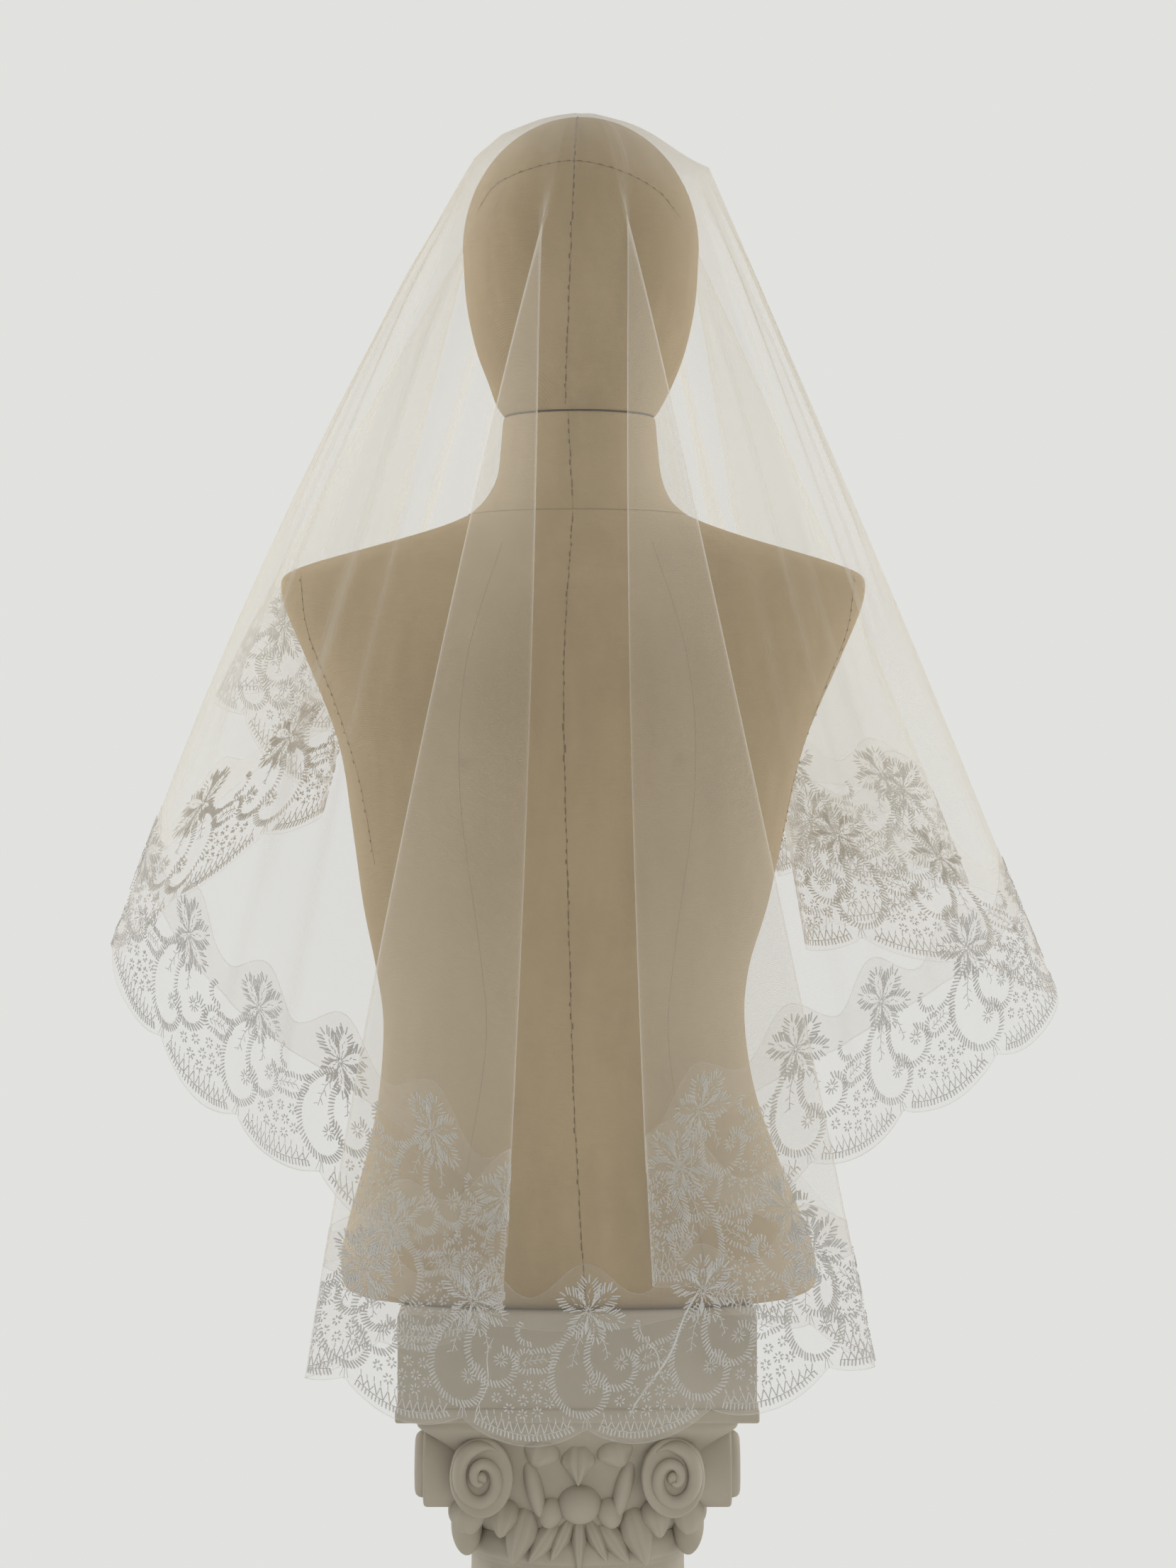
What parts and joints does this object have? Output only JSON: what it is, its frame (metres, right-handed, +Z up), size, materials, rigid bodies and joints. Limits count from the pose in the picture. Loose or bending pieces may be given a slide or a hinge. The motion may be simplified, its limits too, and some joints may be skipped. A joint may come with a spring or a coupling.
{
  "type": "bridal veil on dress form",
  "caption": "Drop bridal veil of tulle with an embroidered lace border, laid over a limbless dress form on a short plaster stand.",
  "frame": {"origin": "centre of the stand's flat foot, on the surface that it stands on", "axes": "+Z up, -Y towards the back of the veil (its longest side, with the box pleats), +X to the right as seen from the back"},
  "size_m": [0.6243, 0.4488, 1.2025],
  "materials": {
    "tulle": "sheer, soft sheen",
    "lace": "embroidered, satin thread",
    "linen": "matte twill",
    "plaster": "matte"
  },
  "bodies": {
    "root": {"form_head": "linen", "form_neck": "linen", "form_torso": "linen", "lace_back": "lace", "lace_front_left": "lace", "lace_front_middle_left": "lace", "lace_front_middle_right": "lace", "lace_front_right": "lace", "lace_pleat_left": "lace", "lace_pleat_right": "lace", "lace_wing_left": "lace", "lace_wing_right": "lace", "stand_block": "plaster", "stand_capital": "plaster", "stand_foot": "plaster", "stand_shaft": "plaster", "tulle_back": "tulle", "tulle_crown": "tulle", "tulle_front_left": "tulle", "tulle_front_middle_left": "tulle", "tulle_front_middle_right": "tulle", "tulle_front_right": "tulle", "tulle_pleat_left": "tulle", "tulle_pleat_right": "tulle", "tulle_wing_left": "tulle", "tulle_wing_right": "tulle"}
  },
  "joints": []
}
